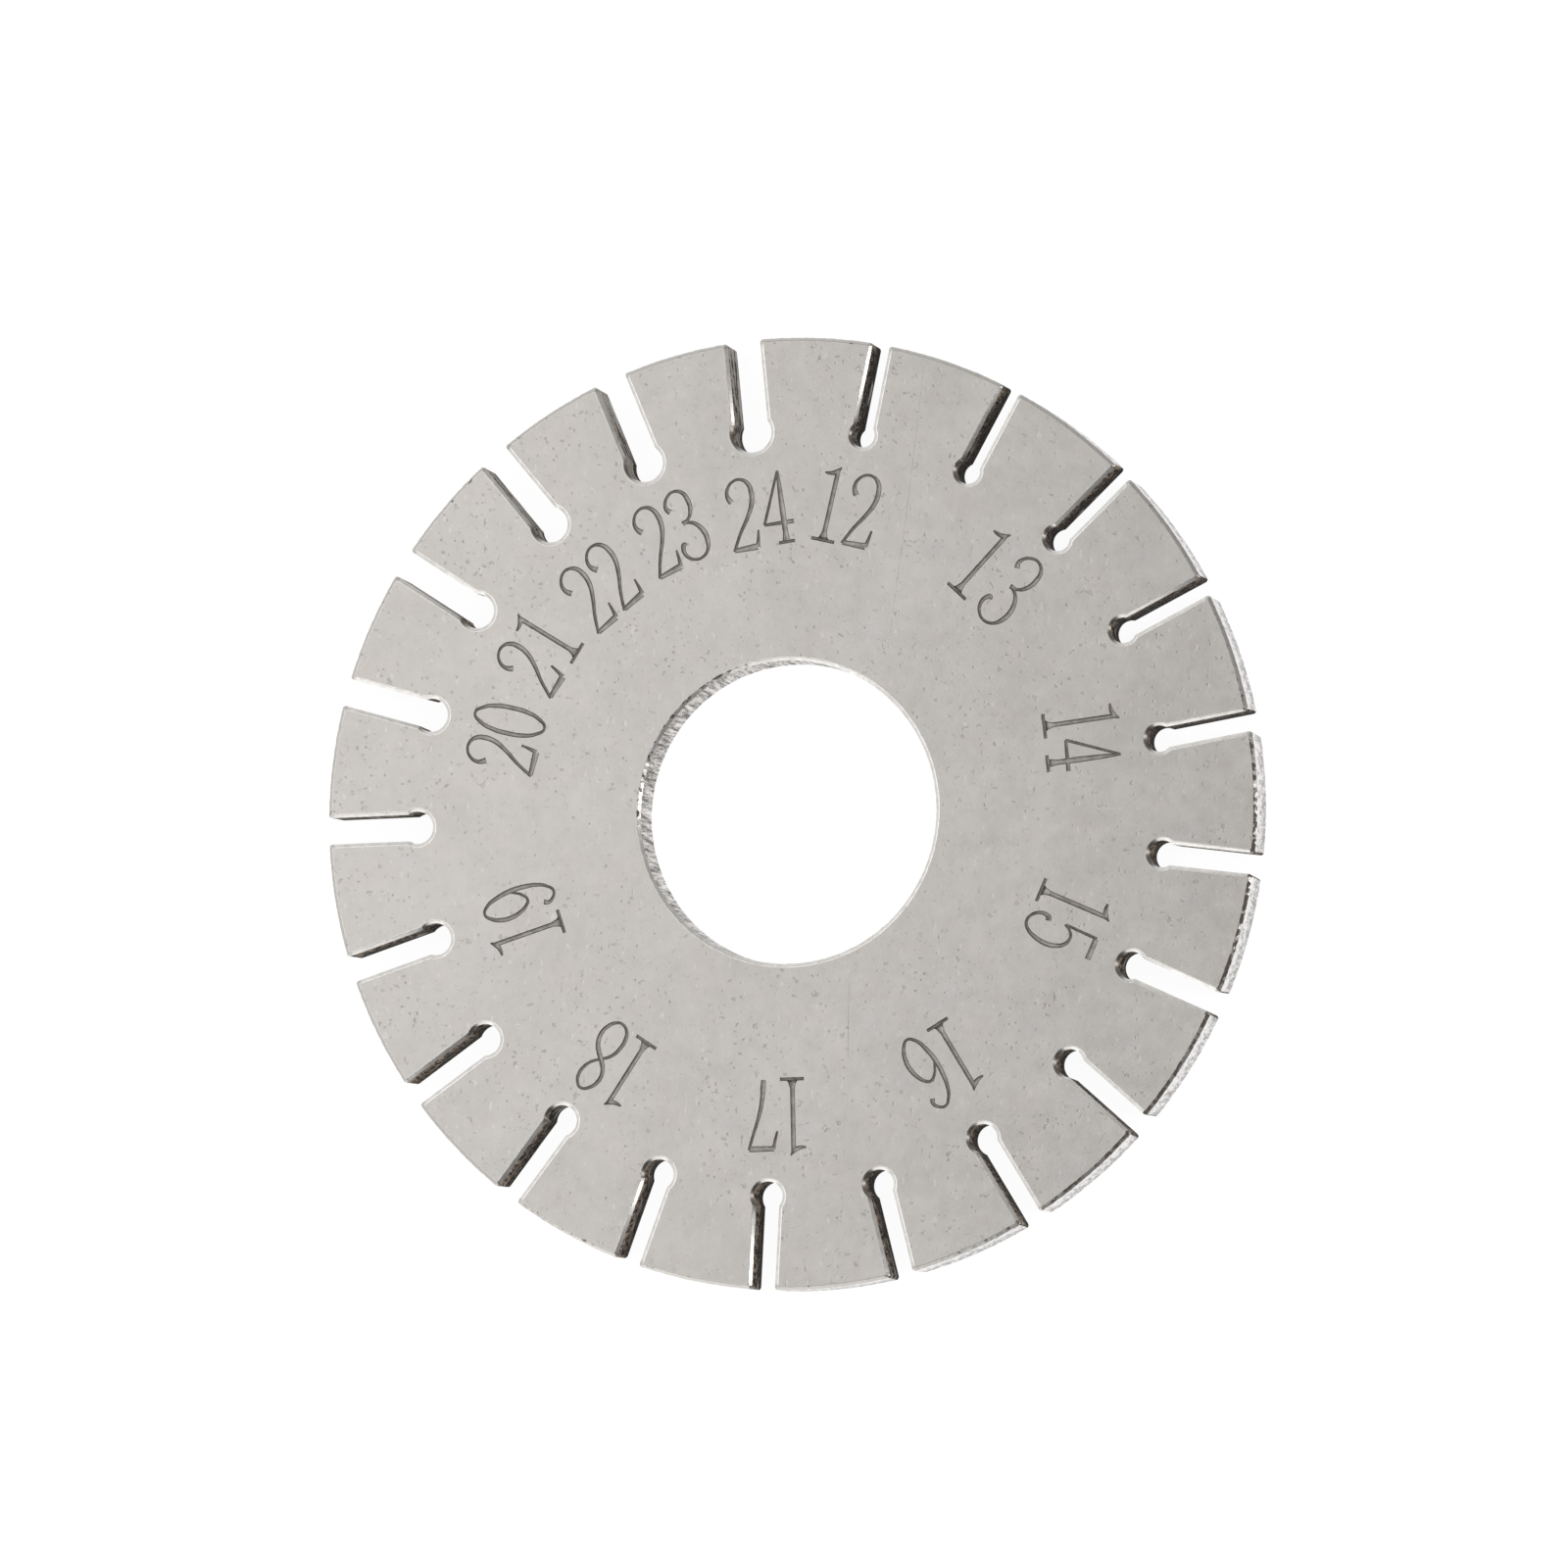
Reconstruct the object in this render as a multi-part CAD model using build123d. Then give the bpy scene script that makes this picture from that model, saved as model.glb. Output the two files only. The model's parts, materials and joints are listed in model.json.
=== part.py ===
from build123d import *
from math import hypot
import os

os.makedirs("parts", exist_ok=True)

# Wire gauge: one stamped steel disc with a ring of graded slots round its rim.
# A wire belongs to the smallest slot that it slides into.
# The frame: origin on the disc's axis at its under face, +Z out of the numbered face,
# +Y between the narrowest and the widest slot.

# Driving sizes, in millimetres
disc_diameter = 40.0
disc_thickness = 2.0
hole_diameter = 12.7
edge_break = 0.15
mouth_break = 0.15

# Slot sizes: one slot for each gauge number, by halves up to 20 and then by whole numbers
first_number = 12
last_half_number = 20
last_number = 24
first_wire = 0.725
wire_per_number = 0.05
heavy_wires = {23: 1.300, 24: 1.400}
slot_clearance = 0.02

# Each slot ends in a drilled relief hole a little wider than the slot
relief_pitch_diameter = 32.2
relief_overcut = 0.125

# How far a cutting shape runs past the metal
overrun = 1.0


def gauge_numbers():
    """The numbers round the rim, from the thinnest wire to the thickest."""
    half_steps = round(2 * (last_half_number - first_number))
    whole_steps = round(last_number - last_half_number)
    halves = [first_number + step / 2 for step in range(half_steps + 1)]
    wholes = [last_half_number + step for step in range(1, whole_steps + 1)]
    return halves + wholes


def wire_diameter(number):
    """The wire that a gauge number stands for."""
    evenly_graded = first_wire + wire_per_number * (number - first_number)
    return heavy_wires.get(number, evenly_graded)


def keyhole(width):
    """One slot along +X: parallel jaws open at the rim, with the relief hole at their root."""
    root = Pos(relief_pitch_diameter / 2, 0)
    length = (disc_diameter - relief_pitch_diameter) / 2 + overrun
    jaws = root * Rectangle(length, width, align=(Align.MIN, Align.CENTER))
    relief = root * Circle(width / 2 + relief_overcut)
    return jaws + relief


def slot_angles(count):
    """Evenly spaced directions, clockwise from the first slot beside +Y."""
    pitch = 360 / count
    return [90 - pitch * (place + 0.5) for place in range(count)]


def disc_outline():
    """The disc seen from above, with its hole, its slots and the broken corners of their mouths."""
    outline = Circle(disc_diameter / 2) - Circle(hole_diameter / 2)
    numbers = gauge_numbers()
    for number, angle in zip(numbers, slot_angles(len(numbers))):
        outline -= Rot(0, 0, angle) * keyhole(wire_diameter(number) + slot_clearance)
    mouth_corners = outline.vertices().filter_by(on_rim)
    return chamfer(mouth_corners, mouth_break)


def on_rim(corner):
    """Whether a corner of the outline lies on the rim, beside a slot's mouth."""
    return hypot(corner.X, corner.Y) > disc_diameter / 2 - edge_break


def gauge_disc():
    """The finished disc, with the edges of both faces broken all the way round."""
    disc = extrude(disc_outline(), disc_thickness)
    levels = disc.edges().group_by(Axis.Z)
    face_edges = levels[0] + levels[-1]
    return chamfer(face_edges, edge_break)


disc = gauge_disc()
disc.label = "gauge_disc"
export_step(disc, "parts/gauge_disc.step")

for number in gauge_numbers():
    print(f"gauge {number:g}: slot {wire_diameter(number) + slot_clearance:.3f} mm wide")
print(f"disc volume {disc.volume:.1f} mm3, {len(disc.faces())} faces")
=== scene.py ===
# %% [markdown]
# # A wire gauge
# The object is a flat steel disc, 40 mm across, with a ring of graded keyhole slots in its rim.
# A number beside a slot tells the wire that just slides into it.
# The part's solid already holds the true sizes, so this lesson builds a finer copy of the disc
# inside them, with worn edges, struck numbers and a finish of its own for each kind of surface.

import json
import math

import bmesh
import bpy
from mathutils import Matrix, Vector, noise


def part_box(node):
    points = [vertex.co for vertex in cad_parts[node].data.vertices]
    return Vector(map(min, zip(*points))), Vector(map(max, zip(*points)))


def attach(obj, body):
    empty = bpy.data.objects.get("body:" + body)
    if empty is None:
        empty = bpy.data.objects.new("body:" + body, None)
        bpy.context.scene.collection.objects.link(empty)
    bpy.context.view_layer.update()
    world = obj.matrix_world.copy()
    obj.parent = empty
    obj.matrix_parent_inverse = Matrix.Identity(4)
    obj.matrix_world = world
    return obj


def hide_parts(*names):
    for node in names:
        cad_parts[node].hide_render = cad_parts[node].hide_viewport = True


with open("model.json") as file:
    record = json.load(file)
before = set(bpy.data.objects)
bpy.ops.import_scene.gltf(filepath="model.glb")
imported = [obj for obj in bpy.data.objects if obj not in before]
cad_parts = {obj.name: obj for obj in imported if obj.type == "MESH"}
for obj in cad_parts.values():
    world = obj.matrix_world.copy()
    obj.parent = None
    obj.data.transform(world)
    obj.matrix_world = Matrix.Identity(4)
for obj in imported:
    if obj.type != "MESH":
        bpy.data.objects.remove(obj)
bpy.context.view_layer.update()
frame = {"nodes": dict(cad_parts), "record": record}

# %% [markdown]
# ## The sizes
# Small things are easier to read in millimetres, so every length here is in millimetres until
# the last step scales the mesh to metres. What the solid can tell is read from it: the rim from
# its furthest vertex, the thickness from its box, the hole from its mount.
# The rest are the same driving sizes that the solid was made from. Only the shape of its edges
# differs: the solid has plain 45 degree flats there, and the real edges were only rubbed over,
# so a flat here is a little wider, less steep and softened where it meets the face.

# %% Sizes
MM = 0.001

disc_solid = frame["nodes"]["gauge_disc"]
low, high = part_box("gauge_disc")
mounts = {mount["name"]: mount for mount in frame["record"]["mounts"]}
rim_radius = max(vertex.co.xy.length for vertex in disc_solid.data.vertices) / MM
thickness = (high.z - low.z) / MM
hole_radius = mounts["centre_hole"]["dims"]["r_mm"]
edge_width = 0.16
edge_slope = math.radians(34)
edge_softness = 0.12
mouth_round = 0.15
relief_pitch_radius = 16.1
relief_overcut = 0.125

print(f"rim radius {rim_radius:.3f} mm, thickness {thickness:.3f} mm, hole {hole_radius:.2f} mm")

# %% [markdown]
# ## The graded slots
# The numbers run clockwise from 12 to 24, by halves up to 20 and then one by one, which makes
# 21 slots. Each slot is the diameter of its music wire and a little clearance.

# %% Slot widths
first_number = 12
numbers = [first_number + step / 2 for step in range(17)] + [21, 22, 23, 24]
first_wire = 0.725
wire_per_number = 0.05
heavy_wires = {23: 1.300, 24: 1.400}
slot_clearance = 0.02


def slot_width(number):
    """The slot for one gauge number."""
    evenly_graded = first_wire + wire_per_number * (number - first_number)
    return heavy_wires.get(number, evenly_graded) + slot_clearance


def slot_turn(place):
    """The direction of a slot, clockwise from the first one beside +Y."""
    return math.radians(90 - 360 / len(numbers) * (place + 0.5))


print(f"{len(numbers)} slots, from {slot_width(numbers[0]):.3f} to {slot_width(numbers[-1]):.3f} mm")

# %% [markdown]
# ## Lofting through the disc
# Every edge of the real disc is slightly worn down. One way to wear an edge is to cut first
# and bevel afterwards, but at the neck of a slot the edges are shorter than the worn strip,
# and a bevel folds over there. So each shape is lofted instead: its outline is drawn at several
# heights, wider towards both faces, and the outlines are bridged.

# %% Levels of a worn edge
softening_steps = 4
overrun = 1.0


def worn_edge():
    """(depth under the face, spread of the outline) from the top of the wall up to the face."""
    curve = []
    for step in range(softening_steps, -1, -1):
        turn = edge_slope * step / softening_steps
        curve.append((edge_softness * (1 - math.cos(turn)), edge_width - edge_softness * math.sin(turn)))
    flat_depth, flat_width = curve[0]
    return [(flat_depth + flat_width * math.tan(edge_slope), 0.0)] + curve


def both_faces(levels):
    """The same levels at the under face and at the upper face, as (height, spread)."""
    under = [(depth, spread) for depth, spread in reversed(levels)]
    upper = [(thickness - depth, spread) for depth, spread in levels]
    return under + upper


def body_levels():
    """Heights for a shape that ends in the faces."""
    return both_faces(worn_edge())


def tool_levels():
    """Heights for a cutting shape: its last facet runs on through the face, and it ends clear of it."""
    levels = worn_edge()
    depth, spread = levels[-2]
    beyond = 2 * edge_width - spread
    return both_faces(levels[:-1] + [(-depth, beyond), (-overrun, beyond)])


# %% [markdown]
# An outline is a closed ring of edges at one height. Bridging every ring to the next one makes
# the wall, and filling the first and the last ring closes the shape.

# %% Bridge drawn outlines into a closed shape
same_height = 1e-5


def ring_edges(bm, height):
    """The edges of the outline drawn at one height."""
    return [e for e in bm.edges if all(abs(v.co.z - height) < same_height for v in e.verts)]


def loft(outline, levels):
    """A closed shape from an outline(bm, spread, height) drawn at each level."""
    bm = bmesh.new()
    for height, spread in levels:
        outline(bm, spread, height)
    rings = [ring_edges(bm, height) for height, spread in levels]
    for lower, upper in zip(rings, rings[1:]):
        bmesh.ops.bridge_loops(bm, edges=lower + upper)
    for ring in (rings[0], rings[-1]):
        bmesh.ops.contextual_create(bm, geom=ring)
    bmesh.ops.recalc_face_normals(bm, faces=bm.faces)
    return bm


# %% [markdown]
# ## The blank
# The blank is a full disc. Its wall carries the upright marks that the press tool left, so it
# has many narrow columns, each pushed in a little by a noise that changes along the rim.
# The centre hole is the same kind of wall turned outside in.

# %% Sheared round walls
mark_width = 0.20
mark_height = 8.0
mark_depth = 0.03
finer_marks = 2.3
rim_columns = 1800
hole_columns = 720


def round_outline(radius, columns, outward):
    """An outline function for a round wall; outward is 1 for a rim that draws in at the faces."""
    def outline(bm, spread, height):
        ring = bmesh.ops.create_circle(bm, radius=radius - outward * spread, segments=columns)
        bmesh.ops.translate(bm, verts=ring["verts"], vec=(0, 0, height))
    return outline


def shear_marks(bm, into_metal):
    """Upright marks on a round wall, never proud of it; into_metal is -1 for the rim, 1 for the hole."""
    for vertex in bm.verts:
        place = vertex.co
        around = Vector((place.x / mark_width, place.y / mark_width, place.z / mark_height))
        rough = noise.noise(around) + 0.5 * noise.noise(around * finer_marks)
        mark = 0.5 + 0.5 * max(-1.0, min(1.0, rough))
        vertex.co.xy = place.xy * (1 + into_metal * mark_depth * mark / place.xy.length)


blank = loft(round_outline(rim_radius, rim_columns, 1), body_levels())
shear_marks(blank, -1)
hole_tool = loft(round_outline(hole_radius, hole_columns, -1), tool_levels())
shear_marks(hole_tool, 1)
print(f"blank {len(blank.faces)} faces, hole tool {len(hole_tool.faces)} faces")

# %% [markdown]
# ## The keyhole slots
# One outline is drawn as with a pen, along +X: from the back of the relief hole round to the
# neck, straight along the jaw, round the corner of the mouth and out past the rim.
# Spinning a single vertex draws an arc, and extruding it draws a line. The other half is its
# mirror image. The punch broke out below, so a slot is a little wider in its lower half.

# %% A pen for outlines
break_out = 0.05
relief_steps = 20
mouth_steps = 5
smallest_corner = 0.02
leave_rim = math.radians(10)


def draw_line(bm, tip, x, y):
    """A straight stroke from a vertex to (x, y); gives the vertex that it ends in."""
    end = bmesh.ops.extrude_vert_indiv(bm, verts=[tip])["verts"][0]
    end.co = Vector((x, y, tip.co.z))
    return end


def draw_arc(bm, tip, centre, angle, steps):
    """A stroke round a centre, anticlockwise for a positive angle; gives its last vertex."""
    spun = bmesh.ops.spin(bm, geom=[tip], cent=(*centre, tip.co.z), axis=(0, 0, 1),
                          angle=angle, steps=steps, use_duplicate=False)
    return next(item for item in spun["geom_last"] if isinstance(item, bmesh.types.BMVert))


# %% [markdown]
# The outline takes a spread, so that the same drawing serves every level: the jaws and the
# relief hole grow by it, and the round corner of the mouth shrinks by it. One shape is made for
# each number, turned to its place, and all of them are cut together.

# %% The keyhole's outline and its 21 cutting shapes
def keyhole_outline(width):
    """An outline function for one slot along +X."""
    def outline(bm, spread, height):
        jaw = width / 2 + spread + (break_out if height < thickness / 2 else 0.0)
        relief = jaw + relief_overcut
        neck = math.pi - math.asin(jaw / relief)
        corner = max(mouth_round - spread, smallest_corner)
        edge = rim_radius - min(spread, edge_width)
        corner_x = math.sqrt((edge - corner) ** 2 - (jaw + corner) ** 2)
        slant = math.atan2(jaw + corner, corner_x)
        tip = bm.verts.new((relief_pitch_radius - relief, 0, height))
        tip = draw_arc(bm, tip, (relief_pitch_radius, 0), -neck, relief_steps)
        tip = draw_line(bm, tip, corner_x, jaw)
        sweep = math.pi / 2 + slant - leave_rim
        tip = draw_arc(bm, tip, (corner_x, jaw + corner), sweep, mouth_steps)
        tip = draw_line(bm, tip, rim_radius + overrun, tip.co.y)
        half = [v for v in bm.verts if abs(v.co.z - height) < same_height]
        half += [e for e in bm.edges if e.verts[0] in half]
        bmesh.ops.mirror(bm, geom=half, axis="Y", merge_dist=same_height)
        ends = [v for v in bm.verts if abs(v.co.z - height) < same_height and len(v.link_edges) == 1]
        bm.edges.new(ends)
    return outline


def slot_tools():
    """All the keyhole tools, each turned to its place round the disc."""
    together = bmesh.new()
    for place, number in enumerate(numbers):
        tool = loft(keyhole_outline(slot_width(number)), tool_levels())
        turn = Matrix.Rotation(slot_turn(place), 4, "Z")
        bmesh.ops.transform(tool, matrix=turn, verts=tool.verts)
        piece = bpy.data.meshes.new("slot_tool")
        tool.to_mesh(piece)
        tool.free()
        together.from_mesh(piece)
        bpy.data.meshes.remove(piece)
    return together


slots_tool = slot_tools()
print(f"{len(numbers)} slot tools, {len(slots_tool.faces)} faces")

# %% [markdown]
# ## Surfaces
# Each kind of surface gets its own material slot, in the same order on the disc and on the
# tools, so that a cut hands its own finish to the wall that it leaves.

# %% Material slots
surfaces = ["face_steel", "edge_steel", "rim_steel", "hole_steel", "slot_steel", "groove_steel"]
materials = {name: bpy.data.materials.new(name) for name in surfaces}
edge_depth = worn_edge()[0][0]
level_normal = 0.999


def mark_surfaces(bm, wall):
    """The flat faces, the worn edges and the wall between them."""
    for face in bm.faces:
        middle = face.calc_center_median().z
        depth = min(middle, thickness - middle)
        flat = abs(face.normal.z) > level_normal
        name = "face_steel" if flat else "edge_steel" if depth < edge_depth else wall
        face.material_index = surfaces.index(name)


def as_object(bm, name):
    """The finished bmesh as an object with all the material slots."""
    mesh = bpy.data.meshes.new(name)
    bm.to_mesh(mesh)
    bm.free()
    for surface in surfaces:
        mesh.materials.append(materials[surface])
    made = bpy.data.objects.new(name, mesh)
    bpy.context.scene.collection.objects.link(made)
    return made


def cut(body, tool, crossing=False):
    """Takes the tool's shape out of the body; crossing is for a tool whose pieces overlap."""
    change = body.modifiers.new("cut", "BOOLEAN")
    change.operation = "DIFFERENCE"
    change.solver = "EXACT"
    change.use_self = crossing
    change.object = tool
    graph = bpy.context.evaluated_depsgraph_get()
    result = bpy.data.meshes.new_from_object(body.evaluated_get(graph), depsgraph=graph)
    if len(result.polygons) < len(body.data.polygons):
        raise RuntimeError(f"the cut with {tool.name} lost the body")
    body.modifiers.clear()
    body.data = result
    bpy.data.objects.remove(tool)
    print(f"after a cut {body.name} has {len(result.polygons)} faces")


mark_surfaces(blank, "rim_steel")
mark_surfaces(hole_tool, "hole_steel")
mark_surfaces(slots_tool, "slot_steel")
disc = as_object(blank, "wire_gauge_disc")
cut(disc, as_object(hole_tool, "hole_tool"))
cut(disc, as_object(slots_tool, "slots_tool"))

# %% [markdown]
# ## The numbers
# The numbers were struck by hand with tall narrow punches, two strokes a number, so each digit
# leans a little its own way. A digit is a few pen strokes, each a list of points (x, y, width)
# in millimetres on a digit 3.1 mm tall, with its foot at the origin. The widths make a stroke
# thin or thick.

# %% Digit strokes
digit_height = 3.1

loop_of_six = [
    (0.36, 2.56, 0.19), (0.44, 2.74, 0.15), (0.32, 2.97, 0.12), (0.06, 3.10, 0.11),
    (-0.22, 2.88, 0.12), (-0.42, 2.47, 0.15), (-0.52, 1.95, 0.18), (-0.55, 1.35, 0.19),
    (-0.46, 0.72, 0.17), (-0.25, 0.18, 0.13), (0.02, 0.00, 0.11), (0.30, 0.22, 0.14),
    (0.49, 0.66, 0.18), (0.52, 1.05, 0.18), (0.44, 1.45, 0.16), (0.25, 1.80, 0.13),
    (0.05, 1.93, 0.12), (-0.22, 1.78, 0.11), (-0.43, 1.45, 0.10), (-0.53, 1.25, 0.09),
]
digits = {
    0: [
        [(0.00, 3.10, 0.11), (-0.32, 2.78, 0.14), (-0.50, 2.20, 0.17), (-0.54, 1.55, 0.18),
         (-0.50, 0.90, 0.17), (-0.32, 0.32, 0.14), (0.00, 0.00, 0.11), (0.32, 0.32, 0.14),
         (0.50, 0.90, 0.17), (0.54, 1.55, 0.18), (0.50, 2.20, 0.17), (0.32, 2.78, 0.14)],
    ],
    1: [
        [(0.00, 0.04, 0.44), (0.00, 0.17, 0.29), (0.00, 0.40, 0.18), (0.00, 2.98, 0.18)],
        [(-0.54, 2.83, 0.08), (-0.30, 2.84, 0.15), (-0.05, 2.94, 0.20), (0.12, 3.16, 0.06)],
        [(-0.50, 0.00, 0.13), (0.52, 0.00, 0.13)],
    ],
    2: [
        [(-0.36, 2.13, 0.22), (-0.45, 2.27, 0.20), (-0.51, 2.50, 0.15), (-0.40, 2.82, 0.12),
         (-0.10, 3.04, 0.11), (0.20, 3.03, 0.12), (0.45, 2.82, 0.17), (0.55, 2.42, 0.20),
         (0.49, 1.95, 0.19), (0.25, 1.44, 0.16), (-0.20, 0.75, 0.13), (-0.57, 0.05, 0.12)],
        [(-0.54, 0.09, 0.18), (0.46, 0.09, 0.26)],
        [(0.46, 0.08, 0.17), (0.53, 0.38, 0.13), (0.60, 0.78, 0.08)],
    ],
    3: [
        [(-0.40, 2.34, 0.22), (-0.50, 2.52, 0.17), (-0.46, 2.76, 0.13), (-0.26, 2.98, 0.12),
         (0.05, 3.08, 0.11), (0.38, 2.90, 0.15), (0.49, 2.50, 0.19), (0.42, 2.06, 0.17),
         (0.16, 1.74, 0.12), (-0.13, 1.66, 0.19)],
        [(-0.10, 1.67, 0.12), (0.18, 1.58, 0.13), (0.42, 1.34, 0.17), (0.56, 0.95, 0.20),
         (0.54, 0.55, 0.19), (0.36, 0.17, 0.13), (0.00, 0.00, 0.11), (-0.36, 0.12, 0.12),
         (-0.56, 0.42, 0.15), (-0.54, 0.72, 0.18), (-0.43, 0.84, 0.18), (-0.40, 0.74, 0.16)],
    ],
    4: [
        [(0.00, 3.07, 0.10), (-0.86, 0.85, 0.12)],
        [(-0.86, 0.85, 0.12), (0.42, 0.83, 0.17)],
        [(0.00, 3.07, 0.10), (0.00, 2.40, 0.17), (0.00, 1.40, 0.22), (0.00, 0.40, 0.20), (0.00, 0.08, 0.30)],
        [(-0.34, 0.00, 0.13), (0.36, 0.00, 0.13)],
    ],
    5: [
        [(-0.38, 2.98, 0.20), (0.50, 2.98, 0.22)],
        [(-0.42, 3.03, 0.12), (-0.47, 1.58, 0.11)],
        [(-0.47, 1.56, 0.10), (-0.30, 1.84, 0.11), (-0.03, 1.97, 0.12), (0.30, 1.83, 0.15),
         (0.51, 1.45, 0.18), (0.56, 1.05, 0.19), (0.47, 0.55, 0.17), (0.25, 0.13, 0.13),
         (0.00, 0.00, 0.12), (-0.31, 0.10, 0.12), (-0.52, 0.38, 0.14), (-0.55, 0.66, 0.16),
         (-0.46, 0.84, 0.16), (-0.40, 0.70, 0.14)],
    ],
    6: [loop_of_six],
    7: [
        [(-0.50, 2.97, 0.20), (0.58, 3.00, 0.22)],
        [(-0.46, 3.00, 0.14), (-0.53, 2.62, 0.12), (-0.62, 2.24, 0.09)],
        [(0.60, 3.04, 0.10), (0.46, 2.55, 0.12), (0.26, 1.90, 0.13), (0.13, 1.40, 0.16),
         (0.04, 0.80, 0.18), (0.02, 0.45, 0.21), (0.00, 0.10, 0.18)],
    ],
    8: [
        [(0.02, 3.10, 0.11), (-0.29, 2.88, 0.13), (-0.45, 2.50, 0.16), (-0.40, 2.10, 0.16),
         (-0.17, 1.78, 0.18), (0.13, 1.53, 0.20), (0.41, 1.22, 0.18), (0.53, 0.80, 0.17),
         (0.45, 0.38, 0.15), (0.22, 0.08, 0.12), (0.00, 0.00, 0.11), (-0.31, 0.14, 0.13),
         (-0.47, 0.48, 0.16), (-0.48, 0.88, 0.15), (-0.34, 1.34, 0.13), (-0.04, 1.68, 0.11),
         (0.22, 1.95, 0.11), (0.38, 2.30, 0.13), (0.40, 2.65, 0.14), (0.26, 2.97, 0.12)],
    ],
    9: [[(-x, digit_height - y, width) for x, y, width in loop_of_six]],
}
closed_digits = (0, 8)

# %% [markdown]
# Each number has a direction on the dial, and each of its two digits a place sideways, the
# radius of its foot, its lean to the right in degrees and its height.

# %% Where the digits stand
struck = {
    81.5: [(1, -0.80, 11.47, 1.6, 3.08), (2, 0.60, 11.43, 0.5, 3.10)],
    49.8: [(1, -0.95, 11.61, 0.0, 3.19), (3, 0.76, 11.49, 0.0, 3.35)],
    15.3: [(1, -0.95, 11.45, 5.3, 3.15), (4, 0.61, 11.26, 6.2, 3.15)],
    -18.5: [(1, -0.77, 11.36, 2.1, 3.12), (5, 0.66, 11.25, 1.5, 3.14)],
    -55.3: [(1, -0.75, 11.03, 0.5, 3.12), (6, 0.69, 10.88, 0.0, 3.22)],
    -88.6: [(1, -0.52, 11.18, -2.8, 3.13), (7, 0.71, 11.14, -1.0, 3.10)],
    -122.9: [(1, -0.70, 11.32, -2.6, 3.10), (8, 0.61, 11.30, -1.9, 3.20)],
    -156.4: [(1, -0.71, 10.73, 2.7, 3.13), (9, 0.69, 10.57, 2.0, 3.15)],
    168.0: [(2, -0.65, 11.14, -0.5, 3.10), (0, 0.87, 11.14, -1.5, 3.12)],
    150.6: [(2, -0.71, 11.30, 0.0, 3.10), (1, 0.90, 11.39, -0.7, 3.04)],
    133.0: [(2, -0.77, 11.10, 0.0, 3.09), (2, 0.71, 11.11, 0.0, 3.11)],
    116.3: [(2, -0.57, 11.30, -4.0, 3.13), (3, 0.85, 11.37, -2.0, 3.11)],
    98.5: [(2, -0.66, 11.15, -4.0, 3.08), (4, 1.05, 11.32, -2.5, 3.07)],
}

# %% [markdown]
# A stroke becomes a curve with a round bevel whose radius follows the stroke's width. Laid in
# the disc's face and flattened, it is a shallow rounded groove. A broad stroke is cut deeper,
# so its floor shows between two sides, as a punch leaves it. The groove finish paints the sides dark with
# dirt and shade.

# %% Strokes as grooves
stroke_weight = 1.12
bend_steps = 5
bevel_steps = 3
groove_flatness = 0.6
groove_lift = 0.002


def new_strokes(name):
    """An empty curve whose round bevel is as wide as each of its points asks."""
    curve = bpy.data.curves.new(name, "CURVE")
    curve.dimensions = "3D"
    curve.bevel_depth = stroke_weight / 2
    curve.bevel_resolution = bevel_steps
    curve.use_fill_caps = True
    return curve


def add_stroke(curve, points, place=Matrix(), closed=False):
    """One smooth stroke through points (x, y, width), moved by the matrix place."""
    spline = curve.splines.new("BEZIER")
    spline.bezier_points.add(len(points) - 1)
    spline.use_cyclic_u = closed
    spline.resolution_u = 1 if len(points) == 2 else bend_steps
    for knot, (x, y, width) in zip(spline.bezier_points, points):
        knot.co = place @ Vector((x, y, 0))
        knot.radius = width
        knot.handle_left_type = "AUTO"
        knot.handle_right_type = "AUTO"


def cut_strokes(curve, surface):
    """Cuts the strokes into the disc's upper face and gives the grooves a surface."""
    drawn = bpy.data.objects.new(curve.name, curve)
    bpy.context.scene.collection.objects.link(drawn)
    mesh = bpy.data.meshes.new_from_object(drawn)
    bpy.data.objects.remove(drawn)
    grooves = bmesh.new()
    grooves.from_mesh(mesh)
    bmesh.ops.remove_doubles(grooves, verts=grooves.verts, dist=same_height)
    flattened = Matrix.Diagonal((1, 1, groove_flatness, 1))
    into_face = Matrix.Translation((0, 0, thickness + groove_lift)) @ flattened
    bmesh.ops.transform(grooves, matrix=into_face, verts=grooves.verts)
    bmesh.ops.recalc_face_normals(grooves, faces=grooves.faces)
    for face in grooves.faces:
        face.material_index = surfaces.index(surface)
    print(f"{curve.name}: {len(curve.splines)} strokes, {len(grooves.faces)} faces")
    cut(disc, as_object(grooves, curve.name), crossing=True)


# %% [markdown]
# The disc has been used, and two long scratches run over its face. They are cut hair thin and
# keep the finish of the face, so only the light shows them. They come before the numbers,
# because a cut is surer on a plain face.

# %% Scratches
scratches = [
    [(4.90, 18.90, 0.03), (4.50, 13.20, 0.05), (3.97, 7.00, 0.03)],
    [(3.05, -7.10, 0.04), (3.09, -8.60, 0.08), (3.17, -10.20, 0.04)],
]

wear = new_strokes("scratches")
for points in scratches:
    add_stroke(wear, points)
cut_strokes(wear, "face_steel")

# %% [markdown]
# Every digit is drawn upright at the origin, so a matrix sets it on the dial: it is scaled,
# leaned, moved out to its foot and turned to the direction of its number. All the strokes are
# then cut in one go.

# %% Strike the numbers
def digit_place(dial_angle, sideways, foot_radius, lean, height):
    """The matrix that sets a digit on the dial."""
    onto_dial = Matrix.Rotation(math.radians(dial_angle - 90), 4, "Z")
    foot = Matrix.Translation((sideways, foot_radius, 0))
    leaned = Matrix.Rotation(math.radians(-lean), 4, "Z")
    return onto_dial @ foot @ leaned @ Matrix.Scale(height / digit_height, 4)


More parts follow.
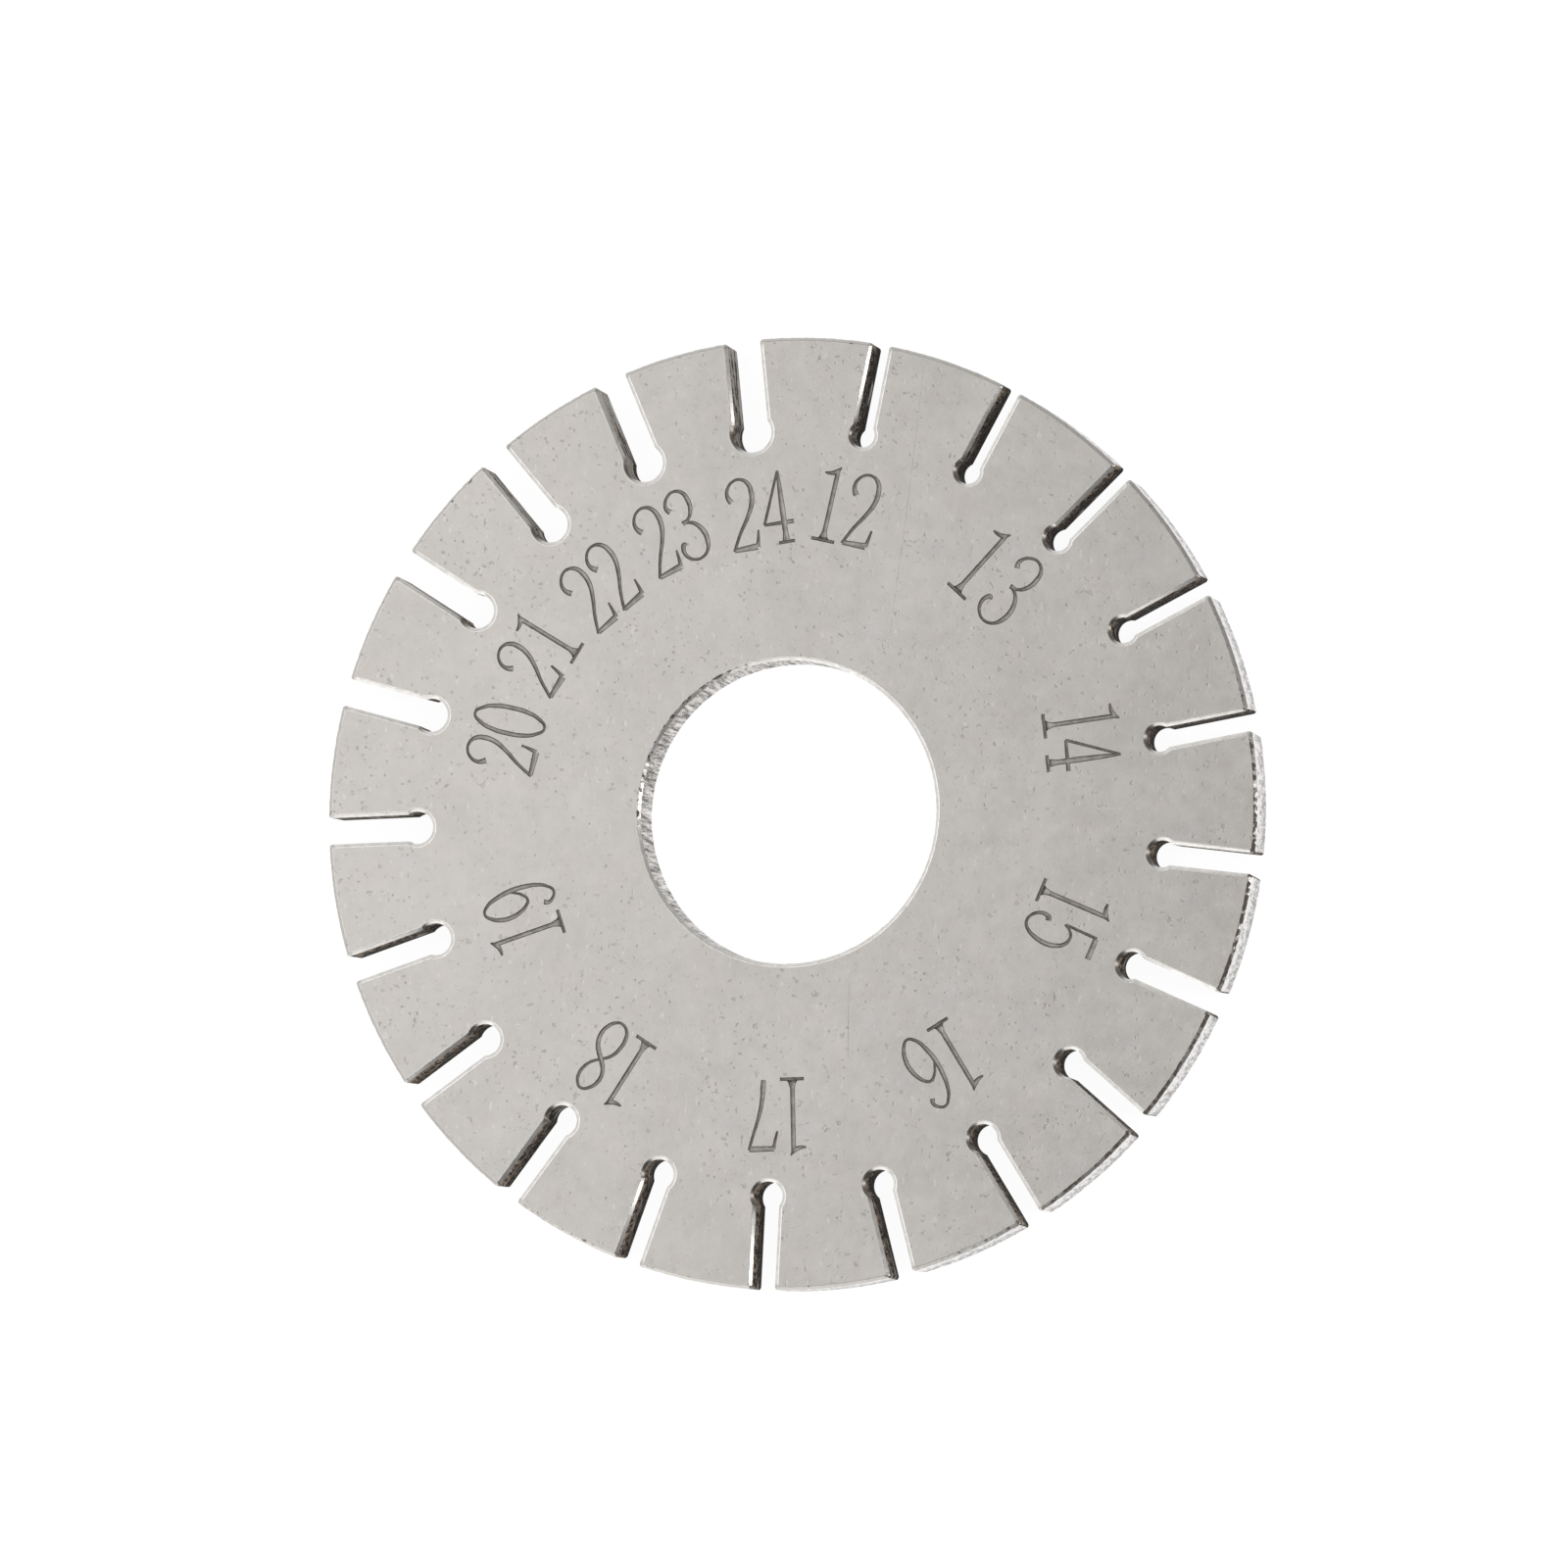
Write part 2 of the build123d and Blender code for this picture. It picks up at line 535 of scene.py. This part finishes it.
dial = new_strokes("dial_numbers")
for dial_angle, pair in struck.items():
    for digit, *where in pair:
        place = digit_place(dial_angle, *where)
        for points in digits[digit]:
            add_stroke(dial, points, place, digit in closed_digits)
cut_strokes(dial, "groove_steel")

# %% [markdown]
# Where strokes cross, a cut can leave slivers that hang on nothing. Going from face to face over
# shared edges finds all that is joined to the body, and the rest is deleted.

# %% Clear away crumbs
def drop_crumbs(body):
    """Deletes slivers that a cut left loose: all that isn't joined to the body's largest face."""
    bm = bmesh.new()
    bm.from_mesh(body.data)
    to_visit = [max(bm.faces, key=lambda face: face.calc_area())]
    joined = set(to_visit)
    while to_visit:
        face = to_visit.pop()
        beside = {other for edge in face.edges for other in edge.link_faces} - joined
        joined |= beside
        to_visit += beside
    crumbs = [face for face in bm.faces if face not in joined]
    bmesh.ops.delete(bm, geom=crumbs, context="FACES")
    bm.to_mesh(body.data)
    bm.free()
    print(f"{len(crumbs)} loose faces dropped")


drop_crumbs(disc)

# %% [markdown]
# ## Shading and size
# The worn edges shade smoothly and the flat faces stay flat if each corner's normal leans on
# the largest face beside it, which is what Weighted Normal does.

# %% Smooth the edges and scale to metres
crease = math.radians(35)
disc.data.transform(Matrix.Scale(MM, 4))
for polygon in disc.data.polygons:
    polygon.use_smooth = True
disc.data.set_sharp_from_angle(angle=crease)
weigh = disc.modifiers.new("weighted", "WEIGHTED_NORMAL")
weigh.keep_sharp = True
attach(disc, "root")
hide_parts("gauge_disc")

# %% [markdown]
# ## Finishes
# Steel is a metal, so its base colour is the colour of its reflections, and most of the
# difference between one surface and the next lies in that colour, in the roughness and in what
# breaks them up. Every pattern reads the object's own coordinates, turned into millimetres, so
# that its scale can be read as marks per millimetre.

# %% Node helpers
def add_node(tree, kind, inputs=None, **settings):
    """A node with its settings; an input takes a number, a colour or another node's output."""
    node = tree.nodes.new("ShaderNode" + kind)
    for setting, value in settings.items():
        setattr(node, setting, value)
    for socket, value in (inputs or {}).items():
        if isinstance(value, bpy.types.NodeSocket):
            tree.links.new(value, node.inputs[socket])
        else:
            node.inputs[socket].default_value = value
    return node


def start_steel(name):
    """A material's tree, its shader as bare metal, and the object's coordinates in millimetres."""
    material = materials[name]
    material.use_nodes = True
    tree = material.node_tree
    shader = tree.nodes["Principled BSDF"]
    shader.inputs["Metallic"].default_value = 1.0
    place = add_node(tree, "TexCoord").outputs["Object"]
    scale = (1 / MM, 1 / MM, 1 / MM)
    return tree, shader, add_node(tree, "Mapping", {"Vector": place, "Scale": scale}).outputs[0]


def shade(red, green, blue):
    """A colour with its alpha."""
    return (red, green, blue, 1.0)


def calculate(tree, operation, first, second=0.0):
    """One sum on two values."""
    return add_node(tree, "Math", {0: first, 1: second}, operation=operation).outputs[0]


def ramp(tree, value, low, high, at_low=0.0, at_high=1.0):
    """A value taken from low..high to at_low..at_high and held at both ends."""
    inputs = {0: value, 1: low, 2: high, 3: at_low, 4: at_high}
    return add_node(tree, "MapRange", inputs).outputs[0]


def blend(tree, amount, first, second):
    """A colour between two others."""
    inputs = {0: amount, 6: first, 7: second}
    return add_node(tree, "Mix", inputs, data_type="RGBA").outputs[2]


def reach(tree, place, heading):
    """How far a place lies from the origin in one direction."""
    return add_node(tree, "VectorMath", {0: place, 1: heading}, operation="DOT_PRODUCT").outputs["Value"]


def depth_below_face(tree, place):
    """How deep a place lies under the upper face."""
    return calculate(tree, "SUBTRACT", thickness, reach(tree, place, (0, 0, 1)))


# %% [markdown]
# Two patterns serve all the finishes, a soft noise and small round pits. A Voronoi cell has one
# point, so a pit is where the distance to it is under a radius that differs from cell to cell,
# and most cells get none. The place that a pattern reads can be stretched, turned and shifted,
# so that two patterns don't fall together.

# %% Noise and pits
def turned(tree, place, stretch=(1, 1, 1), angle=0.0, shift=0.0):
    """The place stretched, turned about the disc's axis and shifted, for a pattern of its own."""
    inputs = {"Vector": place, "Scale": stretch, "Rotation": (0, 0, math.radians(angle)),
              "Location": (shift, shift, shift)}
    return add_node(tree, "Mapping", inputs).outputs[0]


def cloud(tree, place, per_mm, detail=3.0):
    """A soft noise about 0.5 with a given number of clouds per millimetre."""
    inputs = {"Vector": place, "Scale": per_mm, "Detail": detail, "Roughness": 0.65}
    return add_node(tree, "TexNoise", inputs).outputs["Fac"]


def pits(tree, place, per_mm, share, largest):
    """1 inside small round pits and 0 elsewhere; share is how many cells have one."""
    cells = add_node(tree, "TexVoronoi", {"Vector": place, "Scale": per_mm}, voronoi_dimensions="2D")
    lot = add_node(tree, "SeparateColor", {0: cells.outputs["Color"]}).outputs[0]
    radius = ramp(tree, lot, 1 - share, 1.0, 0.0, largest * per_mm)
    inside = calculate(tree, "SUBTRACT", radius, cells.outputs["Distance"])
    return ramp(tree, inside, 0.0, 0.05)


# %% [markdown]
# ### The matt faces
# The faces are tumbled: matt, faintly cloudy, and peppered with small dark flecks and pits.
# A fleck is where a fine noise runs high, a dash is the same drawn out one way, and a slower
# noise gathers both in patches. The rubs are pale, short and turned another way.

# %% Face finish
mark_strength = 0.29
rub_strength = 0.35


def face_finish():
    """Warm grey steel, cloudy, with dark flecks, pits and a few pale rubs."""
    tree, shader, place = start_steel("face_steel")
    tone = calculate(tree, "ADD", calculate(tree, "MULTIPLY", cloud(tree, place, 0.3, 4.0), 0.5),
                     calculate(tree, "MULTIPLY", cloud(tree, place, 1.4, 5.0), 0.5))
    tint = ramp(tree, cloud(tree, turned(tree, place, shift=40), 0.5, 2.0), 0.35, 0.65)
    deep = blend(tree, tint, shade(0.496, 0.467, 0.436), shade(0.484, 0.468, 0.449))
    pale = blend(tree, tint, shade(0.606, 0.577, 0.543), shade(0.594, 0.578, 0.557))
    matt = blend(tree, ramp(tree, tone, 0.36, 0.64), deep, pale)
    patches = ramp(tree, cloud(tree, turned(tree, place, shift=80), 0.4, 2.0), 0.42, 0.60, 0.3, 1.0)
    flecks = ramp(tree, cloud(tree, place, 3.6, 1.5), 0.65, 0.72)
    dashes = ramp(tree, cloud(tree, turned(tree, place, (0.55, 1, 1), 35), 4.5, 1.0), 0.67, 0.74)
    specks = pits(tree, place, 1.3, 0.4, 0.07)
    marks = calculate(tree, "MULTIPLY", calculate(tree, "MAXIMUM", flecks, dashes), patches)
    marks = calculate(tree, "MAXIMUM", marks, specks)
    dark = calculate(tree, "MULTIPLY", marks, mark_strength)
    dirty = blend(tree, dark, matt, shade(0.16, 0.15, 0.135))
    rub_noise = cloud(tree, turned(tree, place, (1, 0.5, 1), 70, 60), 4.0, 1.0)
    rubs = ramp(tree, rub_noise, 0.67, 0.73, 0.0, rub_strength)
    colour = blend(tree, rubs, dirty, shade(0.72, 0.70, 0.67))
    tree.links.new(colour, shader.inputs["Base Color"])
    tree.links.new(ramp(tree, tone, 0.3, 0.7, 0.40, 0.50), shader.inputs["Roughness"])
    height = calculate(tree, "SUBTRACT", calculate(tree, "MULTIPLY", tone, 2.0), marks)
    bump = add_node(tree, "Bump", {"Height": height, "Distance": 0.012 * MM, "Strength": 0.6})
    tree.links.new(bump.outputs[0], shader.inputs["Normal"])


face_finish()


# %% [markdown]
# ### Worked edges and walls
# The worn edges are the face's steel rubbed smooth. Crumbs of dark scale cling to them, most on
# the disc's lower right and some on the upper left of the hole, and there they also paint the
# broken dark line that those edges show as they mirror the tent's dark openings. The left edges
# of the relief holes face the right strip lamp, and painted shade dulls their glint. The outer
# wall was sheared. It is bright near the upper face and marked lower down, and the wall of the
# hole has finer marks from top to bottom.

# %% Edge, rim and hole finishes
# Crumbs gather toward these directions. There they are partly scale and partly a painted dark line, the one
# that the edges mirror from the tent's openings.
crumbs_and_shade_rim = (0.940, -0.342, 0.0)
crumbs_and_shade_hole = (-0.866, 0.500, 0.0)
rim_from, rim_to = 19.72, 19.80
hole_from, hole_to = 6.70, 7.00
no_crumbs = 0.5


def from_axis(tree, place):
    """How far a place lies from the disc's axis."""
    level = add_node(tree, "VectorMath", {0: place, 1: (1, 1, 0)}, operation="MULTIPLY").outputs[0]
    return add_node(tree, "VectorMath", {0: level}, operation="LENGTH").outputs["Value"]


def edge_finish():
    """Smooth steel, with crumbs of scale on the edges of the rim and the hole, which also paint
    the dark line those edges mirror, and painted shade on the left edges of the relief holes.

    Crumbs show where a noise runs high. A share raises it along a part of the rim and of the
    hole, and no_crumbs lowers it so far that none show anywhere else.
    """
    tree, shader, place = start_steel("edge_steel")
    worn = cloud(tree, place, 3.0, 4.0)
    rubbed = blend(tree, ramp(tree, worn, 0.35, 0.6), shade(0.64, 0.62, 0.59), shade(0.78, 0.76, 0.73))
    radius = from_axis(tree, place)
    clean = blend(tree, ramp(tree, radius, rim_from, rim_to), rubbed, shade(0.54, 0.52, 0.49))
    # Painted shade: edges beside the relief holes that face +X, toward the right strip lamp, are darkened so
    # that they show no glint.
    drilled = calculate(tree, "MULTIPLY", ramp(tree, radius, 14.0, 14.5), ramp(tree, radius, 16.8, 16.5))
    facing = add_node(tree, "TexCoord").outputs["Normal"]
    painted_glint_shade = calculate(tree, "MULTIPLY", drilled, ramp(tree, reach(tree, facing, (1, 0, 0)), 0.2, 0.4))
    clean = blend(tree, painted_glint_shade, clean, shade(0.22, 0.20, 0.18))
    # Crumbs of scale that also paint the dark reflected line, along the rim's lower right and the hole's
    # upper left.
    along_rim = ramp(tree, reach(tree, place, crumbs_and_shade_rim), 13.0, 19.0, -0.05, 0.18)
    off_rim = ramp(tree, radius, rim_to, rim_from, 0.0, no_crumbs)
    rim_share = calculate(tree, "SUBTRACT", along_rim, off_rim)
    along_hole = ramp(tree, reach(tree, place, crumbs_and_shade_hole), 2.0, 6.2, -0.20, 0.10)
    off_hole = ramp(tree, radius, hole_from, hole_to, 0.0, no_crumbs)
    hole_share = calculate(tree, "SUBTRACT", along_hole, off_hole)
    lower = ramp(tree, depth_below_face(tree, place), 0.02, 0.09, 0.0, 0.10)
    share = calculate(tree, "SUBTRACT", calculate(tree, "MAXIMUM", rim_share, hole_share), lower)
    noise_high = calculate(tree, "ADD", cloud(tree, turned(tree, place, shift=20), 3.2, 4.0), share)
    crumbs = ramp(tree, noise_high, 0.56, 0.66)
    colour = blend(tree, crumbs, clean, shade(0.090, 0.070, 0.055))
    tree.links.new(colour, shader.inputs["Base Color"])
    tree.links.new(ramp(tree, crumbs, 0.0, 1.0, 0.65, 0.2), shader.inputs["Metallic"])
    tree.links.new(ramp(tree, crumbs, 0.0, 1.0, 0.23, 0.60), shader.inputs["Roughness"])


def sheared_finish(name, dark, bright, dark_metal, per_mm, upright, clean_top, torn_foot):
    """A wall with streaks: a noise stretched up the wall, dark in its lows.

    dark_metal is how metallic the dark streaks are. A smaller upright makes longer streaks.
    clean_top and torn_foot raise and lower the noise at the top and at the foot of the wall.
    """
    tree, shader, place = start_steel(name)
    long_marks = cloud(tree, turned(tree, place, (1, 1, upright)), per_mm, 5.0)
    grain = cloud(tree, turned(tree, place, (1, 1, 0.4)), 2.5 * per_mm, 2.0)
    mostly = calculate(tree, "MULTIPLY", long_marks, 0.65)
    partly = calculate(tree, "MULTIPLY", grain, 0.35)
    streaks = calculate(tree, "ADD", mostly, partly)
    shift = ramp(tree, depth_below_face(tree, place), 0.3, 1.5, clean_top, -torn_foot)
    shown = ramp(tree, calculate(tree, "ADD", streaks, shift), 0.43, 0.57)
    colour = blend(tree, shown, shade(*dark), shade(*bright))
    tree.links.new(colour, shader.inputs["Base Color"])
    tree.links.new(ramp(tree, shown, 0.0, 1.0, dark_metal, 1.0), shader.inputs["Metallic"])
    shader.inputs["Roughness"].default_value = 0.33
    shader.inputs["Specular IOR Level"].default_value = 0.05
    bump = add_node(tree, "Bump", {"Height": streaks, "Distance": 0.03 * MM, "Strength": 0.6})
    tree.links.new(bump.outputs[0], shader.inputs["Normal"])


edge_finish()
sheared_finish("rim_steel", dark=(0.30, 0.28, 0.26), bright=(0.86, 0.85, 0.84), dark_metal=1.0,
               per_mm=5.0, upright=0.30, clean_top=0.07, torn_foot=0.04)
sheared_finish("hole_steel", dark=(0.09, 0.075, 0.065), bright=(0.78, 0.75, 0.72), dark_metal=0.3,
               per_mm=7.0, upright=0.08, clean_top=-0.01, torn_foot=-0.01)

# %% [markdown]
# ### Scaled slots
# The slots were cut hot, which left a brown-black scale on their walls. Its pale crust is darkened
# low down by painted shade, and on the narrow slots at the start of the row by thicker scale and
# painted shade. Scale isn't a metal: as bare metal a wall seen along its surface would mirror
# the white floor. Steel shows in fine lines along the slot, and most on the wide slots at the end of the
# row.

# %% Slot finish
toward_narrow_slots = (0.68, 0.73, 0.0)
toward_wide_slots = (-0.62, 0.785, 0.0)


def slot_finish():
    """Dark scale with bright lines, thinner on the wide slots, with painted shade deep in the slots and on
    the narrow ones.
    """
    tree, shader, place = start_steel("slot_steel")
    depth = depth_below_face(tree, place)
    crust_and_shade = ramp(tree, cloud(tree, turned(tree, place, (1, 1, 0.4)), 5.0, 4.0), 0.42, 0.62)
    # Painted shade: the crust is darker deeper in the slot. The narrow slots are darker too, from thicker
    # scale and painted shade.
    crust_and_shade = calculate(tree, "MULTIPLY", crust_and_shade, ramp(tree, depth, 0.2, 1.7, 1.0, 0.15))
    narrow_slot_scale_and_shade = ramp(tree, reach(tree, place, toward_narrow_slots), 11.0, 15.0, 1.0, 0.65)
    crust_and_shade = calculate(tree, "MULTIPLY", crust_and_shade, narrow_slot_scale_and_shade)
    scale = blend(tree, crust_and_shade, shade(0.006, 0.005, 0.004), shade(0.720, 0.570, 0.450))
    thin_scale = ramp(tree, reach(tree, place, toward_wide_slots), 13.5, 17.0, 0.0, 0.14)
    lines = cloud(tree, turned(tree, place, (0.12, 0.12, 0.7)), 4.0, 3.0)
    bare = ramp(tree, calculate(tree, "ADD", lines, thin_scale), 0.59, 0.66)
    colour = blend(tree, bare, scale, shade(0.42, 0.40, 0.37))
    tree.links.new(colour, shader.inputs["Base Color"])
    tree.links.new(ramp(tree, bare, 0.0, 1.0, 0.0, 0.8), shader.inputs["Metallic"])
    shader.inputs["Roughness"].default_value = 0.60
    shader.inputs["Specular IOR Level"].default_value = 0.02
    height = calculate(tree, "ADD", crust_and_shade, lines)
    bump = add_node(tree, "Bump", {"Height": height, "Distance": 0.02 * MM, "Strength": 0.6})
    tree.links.new(bump.outputs[0], shader.inputs["Normal"])


slot_finish()

# %% [markdown]
# ### Struck grooves
# Dirt has settled against the sides of the grooves, and painted shade darkens them further. The floor of a
# broad one is paler.

# %% Groove finish
pale_floor_depth = (0.035, 0.060)


def groove_finish():
    """Sides dark with dirt and painted shade, and a paler floor where the groove is deep."""
    tree, shader, place = start_steel("groove_steel")
    dirt_and_shade = ramp(tree, cloud(tree, place, 3.0, 3.0), 0.35, 0.65)
    # Painted shade: the sides are dark with dirt and with shade painted in, and a deep floor is paler.
    sides = blend(tree, dirt_and_shade, shade(0.20, 0.185, 0.17), shade(0.12, 0.11, 0.10))
    floor_colour = blend(tree, dirt_and_shade, shade(0.44, 0.42, 0.395), shade(0.30, 0.285, 0.265))
    colour = blend(tree, ramp(tree, depth_below_face(tree, place), *pale_floor_depth), sides, floor_colour)
    tree.links.new(colour, shader.inputs["Base Color"])
    shader.inputs["Roughness"].default_value = 0.5


groove_finish()

# %% [markdown]
# ## Floor and light
# The disc lies on a white floor. What the camera sees of the floor is mostly its own white, with
# a share that takes light and keeps the disc's shadow, and so do mirror-like reflections.
# All other light meets a plain white paint. The floor is a hair higher than the disc's under
# face, because two surfaces in one plane would flicker through each other.

# %% Floor
floor_size = 1.2
floor_lift = 0.02
floor_bm = bmesh.new()
bmesh.ops.create_grid(floor_bm, x_segments=1, y_segments=1, size=floor_size / 2)
floor_mesh = bpy.data.meshes.new("floor")
floor_bm.to_mesh(floor_mesh)
floor_bm.free()
floor = bpy.data.objects.new("floor", floor_mesh)
floor.location.z = floor_lift * MM
bpy.context.scene.collection.objects.link(floor)


def seen_directly(tree):
    """1 for what the camera, a reflection or a clear body shows, 0 for light that only fills."""
    path = add_node(tree, "LightPath").outputs
    seen = calculate(tree, "MAXIMUM", path["Is Camera Ray"], path["Is Glossy Ray"])
    return calculate(tree, "MAXIMUM", seen, path["Is Transmission Ray"])


floor_white = 0.95
floor_shadow = 0.12
floor_fill = 0.85
floor_paint = bpy.data.materials.new("floor_paint")
floor_paint.use_nodes = True
tree = floor_paint.node_tree
tree.nodes.clear()
paint = add_node(tree, "BsdfDiffuse", {"Color": shade(*[floor_fill] * 3)}).outputs[0]
shadowed = add_node(tree, "BsdfDiffuse", {"Color": shade(*[floor_shadow] * 3)}).outputs[0]
own_white = add_node(tree, "Emission", {"Strength": floor_white}).outputs[0]
shown = add_node(tree, "AddShader", {0: shadowed, 1: own_white}).outputs[0]
mixed = add_node(tree, "MixShader", {0: seen_directly(tree), 1: paint, 2: shown}).outputs[0]
add_node(tree, "OutputMaterial", {"Surface": mixed})
floor_mesh.materials.append(floor_paint)

# %% [markdown]
# The disc was lit inside a white tent. The tent is the world: a pale light from all sides,
# brighter on its left wall and brightest in a skirt at the foot of that wall, with two dark
# openings, a small one for the lens and a wide one at the lower right. The openings draw the
# dark lines along the edges that face them, and the skirt makes the edges that face away from
# the camera as white as the floor.

# %% World
left_wall = (-0.944, 0.330, 0.0)
left_light = 0.78
right_light = 0.33
skirt_gain = 1.6
opening_light = 0.04
lens_place, lens_edges = (-19, 75), (10, 21)
side_place, side_edges = (-38, 42), (21, 33)


def direction_to(azimuth, elevation):
    """The unit vector toward a place in the tent, both angles in degrees."""
    a, e = math.radians(azimuth), math.radians(elevation)
    return Vector((math.cos(a) * math.cos(e), math.sin(a) * math.cos(e), math.sin(e)))


def outside_opening(tree, direction, azimuth, elevation, inner, outer):
    """Nearly 0 inside a round opening of the tent and 1 outside it, with a soft edge; in degrees."""
    toward = reach(tree, direction, direction_to(azimuth, elevation))
    far, near = math.cos(math.radians(outer)), math.cos(math.radians(inner))
    edges = {0: toward, 1: far, 2: near, 3: 1.0, 4: opening_light}
    return add_node(tree, "MapRange", edges, interpolation_type="SMOOTHSTEP").outputs[0]


world = bpy.data.worlds.new("tent")
bpy.context.scene.world = world
world.use_nodes = True
tree = world.node_tree
tree.nodes.clear()
direction = add_node(tree, "TexCoord").outputs["Generated"]
height = reach(tree, direction, (0, 0, 1))
left_side = ramp(tree, height, 0.40, 0.60, skirt_gain * left_light, left_light)
walls = ramp(tree, reach(tree, direction, left_wall), -0.40, 0.50, right_light, left_side)
lens_opening = outside_opening(tree, direction, *lens_place, *lens_edges)
side_opening = outside_opening(tree, direction, *side_place, *side_edges)
light = calculate(tree, "MULTIPLY", walls, calculate(tree, "MINIMUM", lens_opening, side_opening))
tent = add_node(tree, "Background", {"Strength": light}).outputs[0]
white = add_node(tree, "Background", {"Strength": 1.0}).outputs[0]
camera_ray = add_node(tree, "LightPath").outputs["Is Camera Ray"]
sky = add_node(tree, "MixShader", {0: camera_ray, 1: tent, 2: white}).outputs[0]
add_node(tree, "OutputWorld", {"Surface": sky})


# %% [markdown]
# Three soft lamps shape the light. The large one hangs close over the disc's left side, so the
# face is a little brighter there. Two low strips, at the right and below, brighten the edges
# that face them.

# %% Lamps
def soft_lamp(name, azimuth, elevation, distance, width, height, brightness):
    """A rectangular lamp that looks at the disc; azimuth from +X, angles in degrees, sizes in metres."""
    lamp = bpy.data.lights.new(name, "AREA")
    lamp.shape = "RECTANGLE"
    lamp.size = width
    lamp.size_y = height
    lamp.energy = brightness * math.pi * width * height
    toward = direction_to(azimuth, elevation)
    made = bpy.data.objects.new(name, lamp)
    made.location = toward * distance
    made.rotation_mode = "QUATERNION"
    made.rotation_quaternion = (-toward).to_track_quat("-Z", "Y")
    bpy.context.scene.collection.objects.link(made)
    return made


soft_lamp("key_lamp", azimuth=172, elevation=60, distance=0.18, width=0.14, height=0.14, brightness=1.08)
soft_lamp("right_strip", azimuth=-1, elevation=36, distance=0.40, width=0.085, height=0.50, brightness=4.4)
soft_lamp("lower_strip", azimuth=-105, elevation=32, distance=0.40, width=0.40, height=0.30, brightness=0.95)

# %% [markdown]
# ## The camera
# The camera looks nearly straight down on the disc from a long way off. Where it stands follows
# from how the disc looks to it: turned a little, leaned back and to one side, and moved away.

# %% Camera
photo_pixels = 1600
focal_pixels = 10000
sensor_width = 36.0
clip_near, clip_far = 0.01, 10
turn_degrees, back_degrees, side_degrees = -1.8686, -4.82, -13.75
disc_from_lens = (0.148, -1.164, -409.938)

camera = bpy.data.objects.new("camera", bpy.data.cameras.new("camera"))
camera.data.sensor_width = sensor_width
camera.data.lens = sensor_width * focal_pixels / photo_pixels
bpy.context.scene.collection.objects.link(camera)
bpy.context.scene.camera = camera

disc_turn = Matrix.Rotation(math.radians(turn_degrees), 4, "Z")
top_down = Matrix.Translation((0, 0, -thickness * MM))
lean_back = Matrix.Rotation(math.radians(back_degrees), 4, "X")
lean_side = Matrix.Rotation(math.radians(side_degrees), 4, "Y")
away = Matrix.Translation([length * MM for length in disc_from_lens])
disc_seen = away @ lean_side @ lean_back @ top_down @ disc_turn
camera.matrix_world = disc_seen.inverted()
camera.data.clip_start = clip_near
camera.data.clip_end = clip_far
bpy.context.scene.view_settings.view_transform = "Standard"
